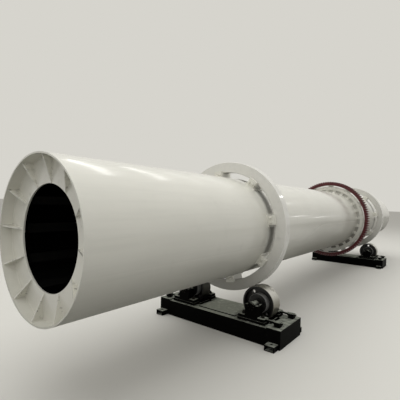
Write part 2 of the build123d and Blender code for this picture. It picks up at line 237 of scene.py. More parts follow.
def add_node(tree, kind, inputs=(), **settings):
    """Add one node with its settings, and its inputs by name or listed in their own order."""
    made = tree.nodes.new(kind)
    for name, value in settings.items():
        setattr(made, name, value)
    join(tree, made, inputs if isinstance(inputs, dict) else dict(enumerate(inputs)))
    return made


def new_material(name):
    material = bpy.data.materials.new(name)
    material.use_nodes = True
    tree = material.node_tree
    tree.nodes.clear()
    shader = add_node(tree, "ShaderNodeBsdfPrincipled")
    add_node(tree, "ShaderNodeOutputMaterial", {"Surface": shader})
    place = add_node(tree, "ShaderNodeTexCoord").outputs["Object"]
    return material, tree, shader, place


def base_colour(shader):
    """What feeds the shader's colour so far."""
    return shader.inputs["Base Color"].links[0].from_socket


# ---- patterns ----
EVEN = (1, 1, 1)


def grain(tree, place, size, detail, stretch):
    """A cloudy pattern whose features are about size metres across."""
    mapped = add_node(tree, "ShaderNodeMapping", {"Vector": place, "Scale": stretch})
    return add_node(tree, "ShaderNodeTexNoise", {
        "Vector": mapped, "Scale": 1 / size, "Detail": detail, "Roughness": 0.55})


def patches(tree, place, size, low, high, outside=0.0, inside=1.0, detail=3, stretch=EVEN):
    """Soft patches of that size, which come in where the grain rises from low to high."""
    return add_node(tree, RANGE, (
        grain(tree, place, size, detail, stretch), low, high, outside, inside),
        interpolation_type=SMOOTH)


def gradient(tree, place, axis, low, high, at_low=0.0, at_high=1.0):
    """A smooth change between two places along one axis, 0 for X to 2 for Z."""
    parts = add_node(tree, "ShaderNodeSeparateXYZ", (place,))
    return add_node(tree, RANGE, (parts.outputs[axis], low, high, at_low, at_high),
                    interpolation_type=SMOOTH)


def strongest(tree, highest, *others):
    """The highest of several patterns at each point."""
    for other in others:
        highest = add_node(tree, MATHS, (highest, other), operation="MAXIMUM")
    return highest


def laid_over(tree, colour, *layers):
    """A colour with layers over it, each given as its cover and its own colour."""
    for cover, layer in layers:
        colour = add_node(tree, "ShaderNodeMix", {0: cover, 6: colour, 7: layer},
                          data_type="RGBA")
    return colour


def relief(tree, place, *layers):
    """Bumps upon bumps, each given as its size, detail, stretch and depth in metres."""
    under = {}
    for size, detail, stretch, depth in layers:
        bump = add_node(tree, "ShaderNodeBump", {
            "Height": grain(tree, place, size, detail, stretch), "Distance": depth,
            "Strength": 1.0, **under})
        under = {"Normal": bump}
    return bump


def from_line(tree, place, y, z):
    """The place across a line along X, measured from it, and the distance from the line."""
    across = add_node(tree, "ShaderNodeMapping", {
        "Vector": place, "Scale": (0, 1, 1), "Location": (0, -y, -z)})
    return across, add_node(tree, "ShaderNodeVectorMath", (across,), operation="LENGTH")


def both_sides(tree, place):
    """The place folded over, so that what is drawn on one side is on the other side too."""
    return add_node(tree, "ShaderNodeVectorMath", (place,), operation="ABSOLUTE")


def seen_rays(tree):
    """One for rays that show a surface to the eye, directly, in a gloss or through glass."""
    path = add_node(tree, "ShaderNodeLightPath").outputs
    return strongest(tree, *[path[f"Is {kind} Ray"] for kind in (
        "Camera", "Glossy", "Transmission")])


# ---- materials ----
def corner_dirt(tree, place, first_gusset):
    """Smears and specks where the gussets meet the end plate, fading within three degrees."""
    across, _ = from_line(tree, place, 0, AXIS_HEIGHT)
    parts = add_node(tree, "ShaderNodeSeparateXYZ", (across,)).outputs
    turn = add_node(tree, MATHS, (parts[2], parts[1]), operation="ARCTAN2")
    turn = add_node(tree, MATHS, (turn, first_gusset), operation="SUBTRACT")
    near = add_node(tree, MATHS, (turn, math.pi / GUSSETS), operation="PINGPONG")
    corner = add_node(tree, RANGE, (near, 0.0, math.radians(3), 1.0, 0.0),
                      interpolation_type=SMOOTH)
    smears = patches(tree, place, 0.04, 0.46, 0.74, 0.0, 0.45, detail=5)
    specks = patches(tree, place, 0.022, 0.62, 0.70, 0.0, 0.95, detail=4)
    return add_node(tree, MATHS, (corner, strongest(tree, smears, specks)),
                    operation="MULTIPLY")


def white_enamel(name, colour, grime_and_shade, dirt, first_gusset=None):
    """Alkyd enamel rolled on by hand over welded plate.

    It gives the eye a warm white with a wet gloss, reflections that waver where the
    plate isn't flat, slightly uneven cover, and workshop dirt that settles in patches.
    """
    material, tree, shader, place = new_material(name)
    # uneven cover in patches of half a metre, and long faint marks left by the roller
    cover = patches(tree, place, 0.55, 0.35, 0.68, detail=4)
    marks = patches(tree, place, 0.05, 0.45, 0.75, 0.0, 0.4, stretch=(0.06, 1, 1))
    dirt_and_painted_shade = patches(tree, place, 0.16, 0.58, 0.82, 0.0, dirt, detail=6)
    if first_gusset is not None:
        # painted shade: on the end plates the lower bays between the gussets are a little darker
        lower = gradient(tree, place, 2, AXIS_HEIGHT - 0.6, AXIS_HEIGHT, 0.17, 0.0)
        dirt_and_painted_shade = strongest(tree, dirt_and_painted_shade, lower, corner_dirt(tree, place, first_gusset))
    tone = laid_over(tree, rgba(colour), (cover, rgba(colour, 0.97)),
                     (marks, rgba(colour, 0.9)), (dirt_and_painted_shade, rgba(grime_and_shade)))
    gloss = patches(tree, place, 0.22, 0.3, 0.7, 0.16, 0.27, detail=4)
    dull = add_node(tree, MATHS, (dirt_and_painted_shade, 0.7), operation="MULTIPLY")
    # plate out of flat by some millimetres in half a metre, ridges a hand wide that the
    # paint roller left along the drum, and orange peel drawn at 9 mm so that it shows
    peel = relief(tree, place, (0.5, 1, (0.6, 1, 1), 0.005), (0.06, 2, (0.05, 1, 1), 0.0004),
                  (0.009, 2, EVEN, 0.00004))
    join(tree, shader, {
        "Base Color": tone, "Roughness": strongest(tree, gloss, dull), "IOR": 1.5,
        "Specular IOR Level": 0.2, "Coat Weight": 0.75, "Coat Roughness": 0.11,
        "Normal": peel, "Coat Normal": peel})
    return material, tree, shader, place


def shell_enamel(colours):
    """White enamel outside, bare hot rolled plate inside the tube.

    It gives the eye a glossy top and flank, a dull underside with painted shade on it, painted
    shade under the tyres and towards the discharge end, and a black inside that is partly painted
    shade.
    """
    material, tree, shader, place = white_enamel(
        "White_alkyd_enamel_on_shell", colours.shell_white, colours.grime_and_shade, 0.08)
    grime_and_shade = rgba(colours.grime_and_shade)
    # painted shade: the underside is darker, and the shell towards the discharge end darker still,
    # most at the bottom
    under = gradient(tree, place, 2, SHELL_BOTTOM, AXIS_HEIGHT, 0.2, 0.0)
    painted_far_shade = add_node(tree, MATHS, (
        gradient(tree, place, 2, SHELL_BOTTOM, SHELL_TOP, 0.55, 0.0),
        gradient(tree, place, 0, -TYRE_FROM_MIDDLE, -TYRE_FROM_MIDDLE / 3)),
        operation="MULTIPLY")
    # painted shade: the plate that the tyres stand over is darker, as in the gap's shadow, and its
    # gloss is dulled
    folded = both_sides(tree, place)
    along = add_node(tree, "ShaderNodeSeparateXYZ", (folded,)).outputs[0]
    from_tyre = add_node(tree, MATHS, (along, TYRE_FROM_MIDDLE), operation="SUBTRACT")
    from_tyre = add_node(tree, MATHS, (from_tyre,), operation="ABSOLUTE")
    painted_shade_under_tyres = add_node(tree, RANGE, (from_tyre, 0.03, 0.11, 0.55, 0.0),
                       interpolation_type=SMOOTH)
    painted = laid_over(tree, base_colour(shader), (strongest(tree, under, painted_far_shade), grime_and_shade),
                        (painted_shade_under_tyres, rgba(colours.grime_and_shade, 0.9)))
    # the paint covers the outside and runs a hand's width into each end, to the end plate; inside,
    # the bare plate is near black, partly painted shade
    _, radius = from_line(tree, place, 0, AXIS_HEIGHT)
    outside = add_node(tree, MATHS, (radius, SHELL_RADIUS - 0.010), operation="GREATER_THAN")
    at_rim = add_node(tree, MATHS, (along, CAD_BOX[1][0] - 0.1), operation="GREATER_THAN")
    # the gloss fades under the tyres, low down and towards the discharge end, over the painted
    # shade
    low = gradient(tree, place, 2, AXIS_HEIGHT - 0.45, AXIS_HEIGHT + 0.05, 0.6, 0.0)
    dull = strongest(tree, painted_shade_under_tyres, low, painted_far_shade)
    roughness = shader.inputs["Roughness"].links[0].from_socket
    join(tree, shader, {
        "Base Color": laid_over(tree, rgba(colours.scale_black_and_tube_shade), (
            strongest(tree, outside, at_rim), painted)),
        "Roughness": strongest(tree, roughness, dull),
        "Coat Weight": add_node(tree, RANGE, (dull, 0.0, 0.6, 0.75, 0.0),
                                interpolation_type=SMOOTH)})
    return material


def tyre_enamel(colours):
    """White enamel on a forged ring, whose bore the brush never reached.

    It gives the eye a clean bright rim, and a dark brown line where the bore shows, bare steel
    darkened further as painted shade of the gap.
    """
    material, tree, shader, place = white_enamel(
        "White_alkyd_enamel_on_tyres", colours.tyre_white, colours.grime_and_shade, 0.30)
    # darker low down, and painted shade all round on the tyre near the discharge end
    low = gradient(tree, place, 2, AXIS_HEIGHT - 0.8, AXIS_HEIGHT - 0.1, 0.6, 0.0)
    painted_light_cover = gradient(tree, place, 0, -TYRE_FROM_MIDDLE, TYRE_FROM_MIDDLE, 0.0, 0.22)
    painted = laid_over(tree, base_colour(shader), (
        strongest(tree, low, painted_light_cover), rgba(colours.grime_and_shade)))
    # painted shade: the bore is bare steel darkened further for the shade in the gap round the
    # shell
    _, radius = from_line(tree, place, 0, AXIS_HEIGHT)
    outside = add_node(tree, RANGE, (radius, TYRE_BORE, TYRE_BORE + 0.002),
                       interpolation_type=SMOOTH)
    join(tree, shader, {
        "Base Color": laid_over(tree, rgba(colours.grime_and_shade, 0.25), (outside, painted))})
    return material


def guard_primer_and_shade(colours):
    """Grey primer on the sheet that closes the gear's legs.

    It gives the eye a ground between the legs in painted shade, darker than the legs
    themselves and darker still lower down.
    """
    # painted shade: the guard is three quarters of the legs' grey
    material, tree, shader, place = white_enamel(
        GUARD_FINISH, [c * 0.75 for c in colours.ring_grey], colours.grime_and_shade, 0.4)
    # painted shade: darker towards the bottom
    low = gradient(tree, place, 2, AXIS_HEIGHT - 0.6, AXIS_HEIGHT + 0.2, 0.7, 0.0)
    join(tree, shader, {
        "Base Color": laid_over(tree, base_colour(shader), (low, rgba(colours.grime_and_shade)))})
    return material


def mill_scale(colours):
    """Hot rolled plate with its mill scale.

    It gives the eye an almost black, dull surface with brown rust in thin patches; the black is
    deeper than mill scale, painted shade of the drum's inside.
    """
    material, tree, shader, place = new_material("Hot_rolled_plate_with_mill_scale_and_tube_shade")
    rust = patches(tree, place, 0.08, 0.6, 0.8, detail=6)
    join(tree, shader, {
        "Base Color": laid_over(tree, rgba(colours.scale_black_and_tube_shade), (
            rust, rgba(colours.scale_rust))),
        "Roughness": 0.85, "Specular IOR Level": 0.2,
        "Normal": relief(tree, place, (0.006, 4, EVEN, 0.0006))})
    return material


def red_primer(colours):
    """Iron oxide primer brushed on a cast gear rim.

    It gives the eye a deep maroon with a low sheen, and painted shade that darkens it towards the
    tooth roots.
    """
    material, tree, shader, place = new_material("Red_oxide_primer_on_cast_steel")
    red = colours.gear_red
    thin = patches(tree, place, 0.05, 0.35, 0.7, detail=5)
    # painted shade: darker at the roots of the teeth, full colour near their tips
    _, radius = from_line(tree, place, 0, AXIS_HEIGHT)
    up_tooth = add_node(tree, RANGE, (radius, 0.795, 0.825, 0.6, 1.0),
                        interpolation_type=SMOOTH)
    tone = laid_over(tree, rgba(red), (thin, rgba(red, 0.72)))
    join(tree, shader, {
        "Base Color": laid_over(tree, rgba(red, 0.45), (up_tooth, tone)),
        "Roughness": patches(tree, place, 0.1, 0.3, 0.7, 0.38, 0.55),
        # casting grain about 5 mm across
        "Normal": relief(tree, place, (0.005, 3, EVEN, 0.0004))})
    return material


def black_enamel(name, colours, dust_cover):
    """Black enamel on rolled sections and castings that stand near the floor.

    It gives the eye a near black with a soft gloss, pale dust on whatever faces up, and painted
    light on the deck between the rollers, in the drum's shade.
    """
    material, tree, shader, place = new_material(name)
    normal = add_node(tree, "ShaderNodeTexCoord").outputs["Normal"]
    facing_up = gradient(tree, normal, 2, 0.35, 0.95)
    drift = patches(tree, place, 0.05, 0.3, 0.68, dust_cover * 0.35, dust_cover, detail=6)
    # painted light: the deck between the rollers lies in the drum's shade, so its dust is drawn
    # thicker and paler to read bright
    painted_deck_light = gradient(tree, both_sides(tree, place), 1, 0.2, 0.32, 1.0, 0.0)
    deck_light_cover = add_node(tree, MATHS, (painted_deck_light, dust_cover * 0.75), operation="MULTIPLY")
    dust_and_deck_light = add_node(tree, MATHS, (facing_up, strongest(tree, drift, deck_light_cover)),
                     operation="MULTIPLY")
    scuffs = patches(tree, place, 0.035, 0.64, 0.84, 0.0, 0.04, detail=6)
    # the cover holds the real dust and scuffs, and the painted light on the deck
    painted_light_cover = strongest(tree, dust_and_deck_light, scuffs)
    # painted light: the dust colour is 1.9 times paler on the deck
    dust = laid_over(tree, rgba(colours.dust), (painted_deck_light, rgba(colours.dust, 1.9)))
    join(tree, shader, {
        "Base Color": laid_over(tree, rgba(colours.frame_black), (painted_light_cover, dust)),
        "Roughness": add_node(tree, RANGE, (painted_light_cover, 0.0, 0.8, 0.5, 0.9),
                              interpolation_type=SMOOTH),
        "Specular IOR Level": 0.018,
        "Normal": relief(tree, place, (0.006, 3, EVEN, 0.0004))})
    return material


def roller_iron(colours):
    """Cast iron wheel with a turned tread and black enamel on its faces.

    It gives the eye a bright grey tread with fine rings of tool marks, painted shade on its lower
    part and on its side under the drum, and black sides.
    """
    material, tree, shader, place = new_material("Turned_cast_iron_with_black_enamel")
    steel = colours.turned_steel
    wheel, radius = from_line(tree, both_sides(tree, place), ROLLER_Y, ROLLER_Z)
    tread = add_node(tree, MATHS, (radius, ROLLER_RADIUS - 0.0045), operation="GREATER_THAN")
    # the hub's round wall is turned too, at four tenths of the tread's brightness
    from_hub = add_node(tree, MATHS, (radius, HUB_RADIUS), operation="SUBTRACT")
    from_hub = add_node(tree, MATHS, (from_hub,), operation="ABSOLUTE")
    hub = add_node(tree, MATHS, (from_hub, 0.0015), operation="LESS_THAN")
    # tool marks drawn 2 mm apart so that they show
    mark, mark_detail, round_wheel = 0.002, 2, (1, 0.004, 0.004)
    rings = patches(tree, place, mark, 0.3, 0.7, detail=mark_detail, stretch=round_wheel)
    # the tread stain lies in patches, and painted shade darkens the lower part of the tread
    stain = strongest(
        tree, patches(tree, place, 0.04, 0.46, 0.7, 0.0, 0.75, detail=6, stretch=(0.7, 1, 1)),
        gradient(tree, wheel, 2, 0.0, 0.15, 0.85, 0.0))
    # painted shade: the side of the tread that faces under the drum is near black
    painted_shade_under_drum = gradient(tree, wheel, 1, -0.16, -0.02, 0.92, 0.0)
    turned = laid_over(tree, rgba(steel), (rings, rgba(steel, 0.78)),
                       (stain, rgba(colours.tread_stain)), (painted_shade_under_drum, rgba(colours.painted_tread_shade)))
    worn = patches(tree, place, 0.02, 0.6, 0.8, 0.0, 0.35, detail=5)
    black = laid_over(tree, rgba(colours.frame_black), (worn, rgba(colours.dust, 0.6)),
                      (hub, rgba(steel, 0.4)))
    join(tree, shader, {
        "Base Color": laid_over(tree, black, (tread, turned)), "Metallic": tread,
        "Roughness": add_node(tree, RANGE, (tread, 0.0, 1.0, 0.42, 0.34)),
        "Normal": relief(tree, place, (mark, mark_detail, round_wheel, 0.00006))})
    return material


def turned_steel(name, colour, roughness):
    """Turned or blackened carbon steel.

    It gives the eye a metal that is dull in patches where oil and dust have dried.
    """
    material, tree, shader, place = new_material(name)
    oil = patches(tree, place, 0.03, 0.45, 0.75, detail=5)
    join(tree, shader, {
        "Base Color": laid_over(tree, rgba(colour), (oil, rgba(colour, 0.55))),
        "Metallic": 0.9,
        "Roughness": add_node(tree, RANGE, (oil, 0.0, 1.0, roughness, roughness + 0.25),
                              interpolation_type=SMOOTH),
        "Normal": relief(tree, place, (0.003, 2, EVEN, 0.0001))})
    return material


def made_material(name):
    found = bpy.data.materials.get(name)
    if found is None:
        raise RuntimeError(f"the finish {name} isn't made yet")
    return found


def paint(names, material):
    for name in names:
        mesh = NODES[name].data
        mesh.materials.clear()
        mesh.materials.append(material)


# ---- places ----
def around(count, first=0.0):
    """The angles of equal parts around the drum."""
    return [first + index * 2 * math.pi / count for index in range(count)]


def on_drum(x, radius, turn):
    """A point at an angle from +Y towards +Z around the drum's axis."""
    return (x, radius * math.cos(turn), AXIS_HEIGHT + radius * math.sin(turn))


def arc_on_drum(x, radius, start, end, step=math.radians(2)):
    count = max(2, round(abs(end - start) / step) + 1)
    return [on_drum(x, radius, start + (end - start) * i / (count - 1)) for i in range(count)]


def patch_outline(x_low, x_high, turn, half_turn):
    """The outline of a plate that lies on the shell."""
    start, end = turn - half_turn, turn + half_turn
    outline = (arc_on_drum(x_low, SHELL_RADIUS, start, end)
               + arc_on_drum(x_high, SHELL_RADIUS, end, start))
    return outline + outline[:1]


def bearings(station):
    """Each bearing of a station as x, y, z and the outward direction along the drum."""
    spacing = bpy.context.scene.dryer_bolts.bearing_spacing
    for side in SIDES:
        centre = middle(f"{station}_{side}_roller")
        for outward in (-1, 1):
            yield centre.x + outward * spacing, centre.y, centre.z, outward


# ---- pieces ----
def seated(name, mesh, carrier):
    """Set a finished mesh on the body that carries it."""
    piece = bpy.data.objects.new(name, mesh)
    bpy.context.scene.collection.objects.link(piece)
    body, slot = carrier
    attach(piece, body)
    return piece


def new_tree(name, inputs):
    tree = bpy.data.node_groups.new(name, "GeometryNodeTree")
    tree.interface.new_socket("Geometry", in_out="INPUT", socket_type="NodeSocketGeometry")
    for label, kind in inputs.items():
        tree.interface.new_socket(label, in_out="INPUT", socket_type="NodeSocket" + kind)
    tree.interface.new_socket("Geometry", in_out="OUTPUT", socket_type="NodeSocketGeometry")
    return tree, add_node(tree, "NodeGroupInput").outputs


def close_tree(tree, geometry, finish):
    """End a tree in real geometry with its finish."""
    real = add_node(tree, "GeometryNodeRealizeInstances", (geometry,))
    finished = add_node(tree, "GeometryNodeSetMaterial", {
        "Geometry": real, "Material": finish})
    add_node(tree, "NodeGroupOutput", (finished,))
    return tree


def standing_cylinder(tree, sides, radius, height, base):
    """A short cylinder that stands on the height base."""
    made = add_node(tree, "GeometryNodeMeshCylinder", {
        "Vertices": sides, "Radius": radius, "Depth": height}).outputs["Mesh"]
    half = add_node(tree, MATHS, (height, 0.5, base), operation="MULTIPLY_ADD")
    lift = add_node(tree, "ShaderNodeCombineXYZ", {2: half})
    return add_node(tree, "GeometryNodeTransform", {"Geometry": made, "Translation": lift})


def nut_body(tree, corner_radius, height, base):
    """A hexagon with a chamfered top, as one closed shape.

    Its middle ring is raised to 0.82 of its height, and its top ring narrows to 0.86.
    """
    hexagon = add_node(tree, "GeometryNodeMeshCylinder", {
        "Vertices": 6, "Side Segments": 2, "Radius": corner_radius,
        "Depth": height}).outputs["Mesh"]
    where = add_node(tree, "GeometryNodeInputPosition")
    level = add_node(tree, MATHS, (
        add_node(tree, "ShaderNodeSeparateXYZ", (where,)).outputs[2], height),
        operation="DIVIDE")
    # levels are -0.5 at the foot, 0 in the middle and 0.5 at the top
    at_top = add_node(tree, MATHS, (level, 0.25), operation="GREATER_THAN")
    narrow = add_node(tree, MATHS, (at_top, -0.14, 1.0), operation="MULTIPLY_ADD")
    from_middle = add_node(tree, MATHS, (level,), operation="ABSOLUTE")
    in_middle = add_node(tree, MATHS, (from_middle, 0.25), operation="LESS_THAN")
    share = add_node(tree, MATHS, (in_middle, 0.32, 0.5), operation="MULTIPLY_ADD")
    lift = add_node(tree, MATHS, (share, height, base), operation="MULTIPLY_ADD")
    moved = add_node(tree, "ShaderNodeVectorMath", (
        where, add_node(tree, "ShaderNodeCombineXYZ", (narrow, narrow, 1.0)),
        add_node(tree, "ShaderNodeCombineXYZ", {2: lift})), operation="MULTIPLY_ADD")
    return add_node(tree, "GeometryNodeSetPosition", {"Geometry": hexagon, "Position": moved})


def bolt_tree():
    """Nuts with washer and stud, one on each vertex along its axis."""
    tree, given = new_tree("Bolts on places", {
        "Across Flats": "Float", "Nut Height": "Float", "Washer Height": "Float",
        "Stud Length": "Float", "Finish": "Material"})
    across, nut, washer, stud = (given[label] for label in (
        "Across Flats", "Nut Height", "Washer Height", "Stud Length"))
    washer_radius, corner_radius, stud_radius = (
        add_node(tree, MATHS, (across, share), operation="MULTIPLY")
        for share in (0.62, 1 / math.sqrt(3), 0.32))
    above_nut = add_node(tree, MATHS, (washer, nut), operation="ADD")
    bolt = add_node(tree, "GeometryNodeJoinGeometry")
    for shape in (standing_cylinder(tree, 14, washer_radius, washer, 0.0),
                  nut_body(tree, corner_radius, nut, washer),
                  standing_cylinder(tree, 10, stud_radius, stud, above_nut)):
        join(tree, bolt, {0: shape})
    axis = add_node(tree, "GeometryNodeInputNamedAttribute", {"Name": "axis"},
                    data_type="FLOAT_VECTOR")
    placed = add_node(tree, "GeometryNodeInstanceOnPoints", {
        "Points": given["Geometry"], "Instance": bolt,
        "Rotation": add_node(tree, "FunctionNodeAlignRotationToVector", {"Vector": axis},
                             axis="Z")})
    return close_tree(tree, placed, given["Finish"])


def weld_tree():
    """Weld beads along edges, with a ripple for each stroke of the electrode."""
    tree, given = new_tree("Weld beads on edges", {
        "Bead Radius": "Float", "Ripple Length": "Float", "Finish": "Material"})
    curve = add_node(tree, "GeometryNodeMeshToCurve", {"Mesh": given["Geometry"]})
    step = add_node(tree, MATHS, (given["Ripple Length"], 0.5), operation="MULTIPLY")
    even = add_node(tree, "GeometryNodeResampleCurve", {"Curve": curve, "Length": step},
                    mode="LENGTH")
    swell = add_node(tree, "FunctionNodeRandomValue", {
        "Min": 0.82, "Max": 1.12, "ID": add_node(tree, "GeometryNodeInputIndex"), "Seed": 7},
        data_type="FLOAT")
    swollen = add_node(tree, "GeometryNodeSetCurveRadius", {"Curve": even, "Radius": swell})
    profile = add_node(tree, "GeometryNodeCurvePrimitiveCircle", {
        "Resolution": 6, "Radius": given["Bead Radius"]})
    bead = add_node(tree, "GeometryNodeCurveToMesh", {
        "Curve": swollen, "Profile Curve": profile, "Fill Caps": True,
        "Scale": add_node(tree, "GeometryNodeInputRadius")})
    smooth = add_node(tree, "GeometryNodeSetShadeSmooth", {"Geometry": bead})
    return close_tree(tree, smooth, given["Finish"])


def grown(name, base_mesh, tree, inputs, carrier):
    """Run a tree on a base mesh and keep the result as a plain mesh on its carrier."""
    base = bpy.data.objects.new(name + "_base", base_mesh)
    bpy.context.scene.collection.objects.link(base)
    modifier = base.modifiers.new("Grow", "NODES")
    modifier.node_group = tree
    for label, value in inputs.items():
        modifier[tree.interface.items_tree[label].identifier] = value
    base.data.update()
    graph = bpy.context.evaluated_depsgraph_get()
    mesh = bpy.data.meshes.new_from_object(base.evaluated_get(graph))
    mesh.name = name
    bpy.data.objects.remove(base)
    bpy.data.meshes.remove(base_mesh)
    if not mesh.polygons:
        raise RuntimeError(f"{name} came out empty")
    return seated(name, mesh, carrier)


def bolts(name, places, across, finish, carrier, nut=0.55, washer=0.1, stud=0.3):
    """Bolts at places, given as pairs of point and axis; heights are shares of the flats."""
    mesh = bpy.data.meshes.new(name + "_places")
    mesh.from_pydata([point for point, _ in places], [], [])
    attribute = mesh.attributes.new("axis", "FLOAT_VECTOR", "POINT")
    for index, (_, axis) in enumerate(places):
        attribute.data[index].vector = axis
    tree = bpy.data.node_groups.get("Bolts on places") or bolt_tree()
    return grown(name, mesh, tree, {
        "Across Flats": across, "Nut Height": across * nut, "Washer Height": across * washer,
        "Stud Length": across * stud, "Finish": made_material(finish)}, carrier)


def welds(name, paths, radius, finish, carrier):
    """Weld beads along paths, each a list of points."""
    points, edges = [], []
    for path in paths:
        start = len(points)
        points.extend(path)
        edges.extend((start + i, start + i + 1) for i in range(len(path) - 1))
    mesh = bpy.data.meshes.new(name + "_paths")
    mesh.from_pydata(points, edges, [])
    tree = bpy.data.node_groups.get("Weld beads on edges") or weld_tree()
    return grown(name, mesh, tree, {
        "Bead Radius": radius, "Ripple Length": bpy.context.scene.dryer_welds.ripple_pitch,
        "Finish": made_material(finish)}, carrier)


def ring_plate(x_low, x_high, radii, parts, turns, open_steps):
    """A flat ring across the drum, built of equal parts.

    The turns are the angles within one part, radii bound its bands, and open_steps says
    which steps of a band are cut out of every part.
    """
    shape = bmesh.new()
    part_steps = len(turns)
    turns = [start + turn for start in around(parts) for turn in turns]
    count = len(turns)
    corners = {(side, r, t): shape.verts.new(on_drum(x, radius, turn))
               for side, x in enumerate((x_low, x_high))
               for r, radius in enumerate(radii) for t, turn in enumerate(turns)}

    def solid(band, step):
        return 0 <= band < len(radii) - 1 and step % part_steps not in open_steps.get(band, ())

    for band in range(len(radii) - 1):
        for step in range(count):
            if not solid(band, step):
                continue
            after = (step + 1) % count
            loop = [(band, step), (band, after), (band + 1, after), (band + 1, step)]
            beside = [(band - 1, step), (band, step + 1), (band + 1, step), (band, step - 1)]
            for side in (0, 1):
                shape.faces.new([corners[side, r, t] for r, t in loop])
            # a wall wherever the neighbour is open
            for index, neighbour in enumerate(beside):
                if not solid(*neighbour):
                    first, second = loop[index], loop[(index + 1) % 4]
                    shape.faces.new([corners[0, *first], corners[0, *second],
                                     corners[1, *second], corners[1, *first]])
    return shape


def gear_ring(name, shape, finish):
    """Turn a worked ring into a piece with softened edges and faces that point outwards."""
    bmesh.ops.delete(shape, geom=[v for v in shape.verts if not v.link_faces], context="VERTS")
    bmesh.ops.recalc_face_normals(shape, faces=shape.faces)
    sharp = [e for e in shape.edges if e.calc_face_angle(0.0) > math.radians(40)]
    bmesh.ops.bevel(shape, geom=sharp, offset=0.0012, segments=1, affect="EDGES")
    mesh = bpy.data.meshes.new(name)
    shape.to_mesh(mesh)
    shape.free()
    mesh.materials.append(made_material(finish))
    return seated(name, mesh, ON_DRUM)


# ---- operators ----
class DRYER_OT_paint_drum(bpy.types.Operator):
    """Give the drum, its ends, flights, tyres and pads their paint"""
    bl_idname = "dryer.paint_drum"
    bl_label = "Paint drum"

    def execute(self, context):
        colours = context.scene.dryer_colours
        white, grime_and_shade = colours.shell_white, colours.grime_and_shade
        ends, *_ = white_enamel(ENDS_FINISH, white, grime_and_shade, 0.40,
                                context.scene.dryer_welds.gusset_phase)
        pads, *_ = white_enamel(PADS_FINISH, white, grime_and_shade, 0.45)
        paint(["drum_shell"], shell_enamel(colours))
        paint([f"{end}_end_{part}" for end in ("feed", "discharge")
               for part in ("plate", "gussets")], ends)
        paint(["lifting_flights"], mill_scale(colours))
        paint([f"{station}_tyre" for station in STATIONS], tyre_enamel(colours))
        paint([f"{station}_tyre_pads" for station in STATIONS], pads)
        return {"FINISHED"}


class DRYER_OT_paint_gear(bpy.types.Operator):
    """Give the girth gear, its mounting ring and spring legs their paint"""
    bl_idname = "dryer.paint_gear"
    bl_label = "Paint girth gear"

    def execute(self, context):
        colours = context.scene.dryer_colours
        white, *_ = white_enamel(GEAR_FINISH, colours.shell_white, colours.grime_and_shade, 0.3)
        grey, *_ = white_enamel(LEGS_FINISH, colours.ring_grey, colours.grime_and_shade, 0.35)
        guard_primer_and_shade(colours)
        paint(["girth_gear_rim"], red_primer(colours))
        paint(["girth_gear_web"], white)
        paint(["gear_mount_ring", "gear_spring_legs"], grey)
        return {"FINISHED"}


class DRYER_OT_paint_stations(bpy.types.Operator):
    """Give the base frames, bearings, rollers and shafts their finishes"""
    bl_idname = "dryer.paint_stations"
    bl_label = "Paint roller stations"

    def execute(self, context):
        colours = context.scene.dryer_colours
        sections = black_enamel(FRAME_FINISH, colours, 0.85)
        castings = black_enamel("Black_enamel_on_bearing_castings", colours, 1.0)
        adjusters = black_enamel("Black_enamel_on_adjusting_screws", colours, 0.7)
        wheels = roller_iron(colours)
        shafts = turned_steel("Turned_carbon_steel_shafts", colours.shaft_steel, 0.3)
        turned_steel(BOLT_FINISH, colours.bolt_steel, 0.45)
        finishes = {
            sections: ("frame_beams", "cross_members", "frame_end_plates", "frame_top_plates",
                       "foot_plates", "bearing_seats"),
            castings: ("bearing_bases", "bearing_caps", "bearing_covers"),
            adjusters: ("adjusters",),
            wheels: [f"{side}_roller" for side in SIDES],
            shafts: [f"{side}_roller_shaft" for side in SIDES],
        }
        for finish, parts in finishes.items():
            paint([f"{station}_{part}" for station in STATIONS for part in parts], finish)
        return {"FINISHED"}


class DRYER_OT_end_welds(bpy.types.Operator):
    """Weld the gussets to the end plates and the end plates to the shell"""
    bl_idname = "dryer.end_welds"
    bl_label = "End welds"

    def execute(self, context):
        sizes = context.scene.dryer_welds
        inner = SHELL_RADIUS - SHELL_WALL
        # a gusset's side keeps its distance from the gusset's middle, so its bead needs
        # points between the opening and the shell
        radii = (OPENING_RADIUS + SHELL_WALL, 0.45, 0.52, inner - 0.004)
        for end in ("feed", "discharge"):
            low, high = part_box(f"{end}_end_plate")
            face, inward = (low.x, 1) if end == "feed" else (high.x, -1)
            rim = face - inward * GUSSET_DEPTH
            paths = [arc_on_drum(face, inner, 0, 2 * math.pi)]
            for turn in around(GUSSETS, sizes.gusset_phase):
                for half in (-HALF_GUSSET, HALF_GUSSET):
                    paths.append([on_drum(face, r, turn + half / r) for r in radii])
                    paths.append([on_drum(x, inner, turn + half / inner)
                                  for x in (face - inward * 0.004, (face + rim) / 2, rim)])
            welds(f"{end}_end_welds", paths, sizes.drum_bead, ENDS_FINISH, ON_DRUM)
        return {"FINISHED"}


class DRYER_OT_pad_welds(bpy.types.Operator):
    """Weld the feet of the tyre pads to the shell"""
    bl_idname = "dryer.pad_welds"
    bl_label = "Pad welds"

    def execute(self, context):
        sizes = context.scene.dryer_welds
        for station in STATIONS:
            low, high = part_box(f"{station}_tyre_pads")
            paths = [patch_outline(low.x, high.x, turn, HALF_PAD_TURN)
                     for turn in around(TYRE_PADS, sizes.pad_phase)]
            welds(f"{station}_pad_welds", paths, sizes.drum_bead, PADS_FINISH, ON_DRUM)
        return {"FINISHED"}


